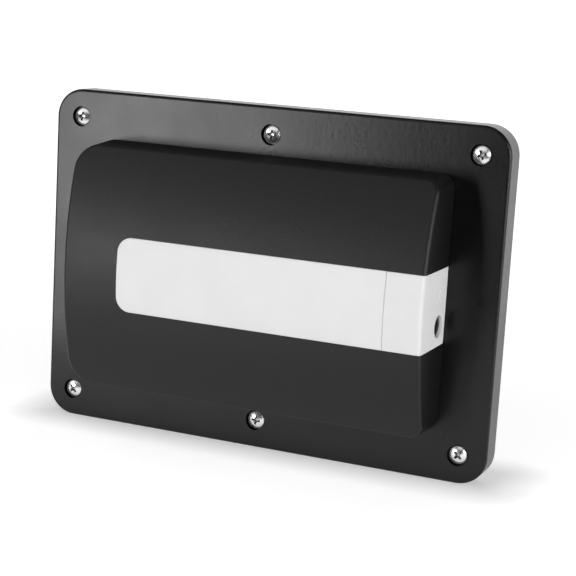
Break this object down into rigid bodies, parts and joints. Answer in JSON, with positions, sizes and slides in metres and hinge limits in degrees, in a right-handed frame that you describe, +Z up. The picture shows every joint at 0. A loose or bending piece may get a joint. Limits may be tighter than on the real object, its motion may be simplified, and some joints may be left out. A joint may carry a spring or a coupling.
{
  "type": "wireless garage door controller",
  "caption": "Flanged wall box with a crowned black body, a white light strip that wraps one end, a power inlet and a push button.",
  "frame": {"origin": "middle of the back, where the unit lies against the wall or ceiling", "axes": "+X along the width to the inlet end, +Y into the wall, +Z up"},
  "size_m": [0.2, 0.0405, 0.142],
  "materials": {
    "black_shell": "fine moulded texture, black",
    "black_plate": "moulded, black",
    "white_lens": "smooth milky white diffuser",
    "white_cap": "smooth white",
    "white_button": "smooth white",
    "screw_steel": "bright zinc plated",
    "small_steel": "zinc plated",
    "contact_brass": "bare",
    "dark_plastic": "moulded, black",
    "board_green": "green solder mask",
    "board_blue": "blue solder mask",
    "board_white": "white solder mask",
    "light_yellow": "phosphor coated",
    "relay_blue": "moulded case",
    "terminal_green": "moulded case",
    "chip_black": "moulded epoxy",
    "chip_brown": "ceramic",
    "can_steel": "tinned",
    "capacitor_sleeve": "printed sleeve left bare",
    "fuse_yellow": "coated"
  },
  "bodies": {
    "housing": {"front_housing": "black_shell", "strip_lens": "white_lens", "end_cap": "white_cap", "button_switch": "dark_plastic", "cover_screws": "screw_steel", "rear_plate": "black_plate", "main_board": "board_green", "board_screws": "small_steel", "power_jack": "dark_plastic", "power_jack_pin": "contact_brass", "light_board": "board_white", "light_spacers": "contact_brass", "light_board_screws": "small_steel", "strobe_lights": "light_yellow", "sounder": "dark_plastic", "sounder_disc": "contact_brass", "relay": "relay_blue", "terminal_block": "terminal_green", "terminal_screws": "small_steel", "control_chip": "chip_black", "crystal": "can_steel", "radio_board": "board_blue", "radio_shield": "can_steel", "radio_antenna": "contact_brass", "receiver_board": "board_blue", "receiver_can": "can_steel", "receiver_antenna": "contact_brass", "smoothing_capacitors": "capacitor_sleeve", "power_inductor": "chip_black", "voltage_regulator": "chip_black", "input_fuse": "fuse_yellow", "board_header": "dark_plastic", "header_contacts": "contact_brass", "chip_parts": "chip_brown"},
    "push_button": {"connect_button": "white_button", "switch_plunger": "dark_plastic"}
  },
  "joints": [
    {"name": "button_press", "type": "slide", "parent": "housing", "child": "push_button", "axis": [-1, 0, 0], "range_m": [0, 0.0006], "stiffness_N_per_m": 1500, "springref_m": -0.0005}
  ]
}
